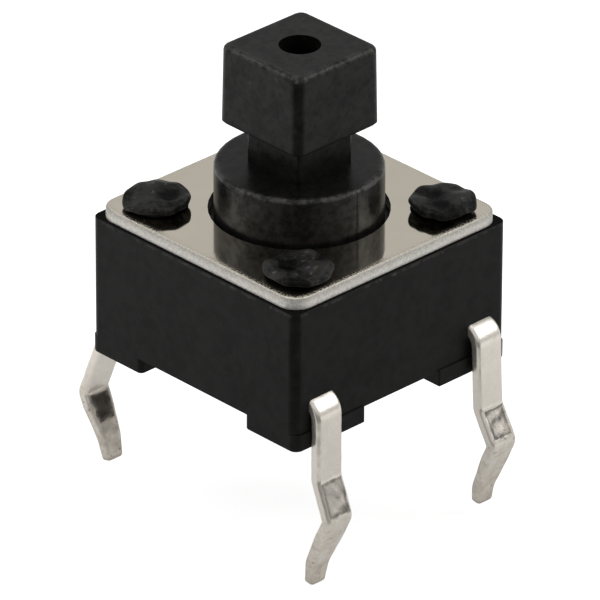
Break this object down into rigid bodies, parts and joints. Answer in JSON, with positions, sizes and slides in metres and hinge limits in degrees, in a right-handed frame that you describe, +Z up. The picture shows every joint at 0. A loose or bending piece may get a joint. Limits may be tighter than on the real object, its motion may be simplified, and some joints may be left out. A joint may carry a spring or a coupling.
{
  "type": "tactile pushbutton",
  "caption": "Small square through-hole tactile switch with a square plunger head on a narrow neck, a staked metal cover and kinked snap-in terminals.",
  "frame": {"origin": "centre of the footprint on the plane of the four feet, where the circuit board's top face lies", "axes": "+Z up along the plunger, +X out through a terminal wall, +Y along the 4.5 mm terminal pitch"},
  "size_m": [0.0077, 0.006, 0.0104],
  "materials": {
    "housing_plastic": "satin black moulded plastic",
    "plunger_plastic": "satin black moulded plastic",
    "cover_steel": "bright rolled stainless sheet, nearly a mirror",
    "dome_steel": "bright spring steel",
    "plated_terminal": "tin plated, dull silver with small scratches"
  },
  "bodies": {
    "housing": {"base_housing": "housing_plastic", "cover_plate": "cover_steel", "snap_dome": "dome_steel", "terminal_frame_centre": "plated_terminal", "terminal_frame_outer": "plated_terminal"},
    "plunger": {"plunger": "plunger_plastic"}
  },
  "joints": [
    {"name": "plunger_press", "type": "slide", "parent": "housing", "child": "plunger", "axis": [0, 0, -1], "range_m": [0, 0.00025], "stiffness_N_per_m": 4000, "deforming": ["snap_dome"]}
  ]
}
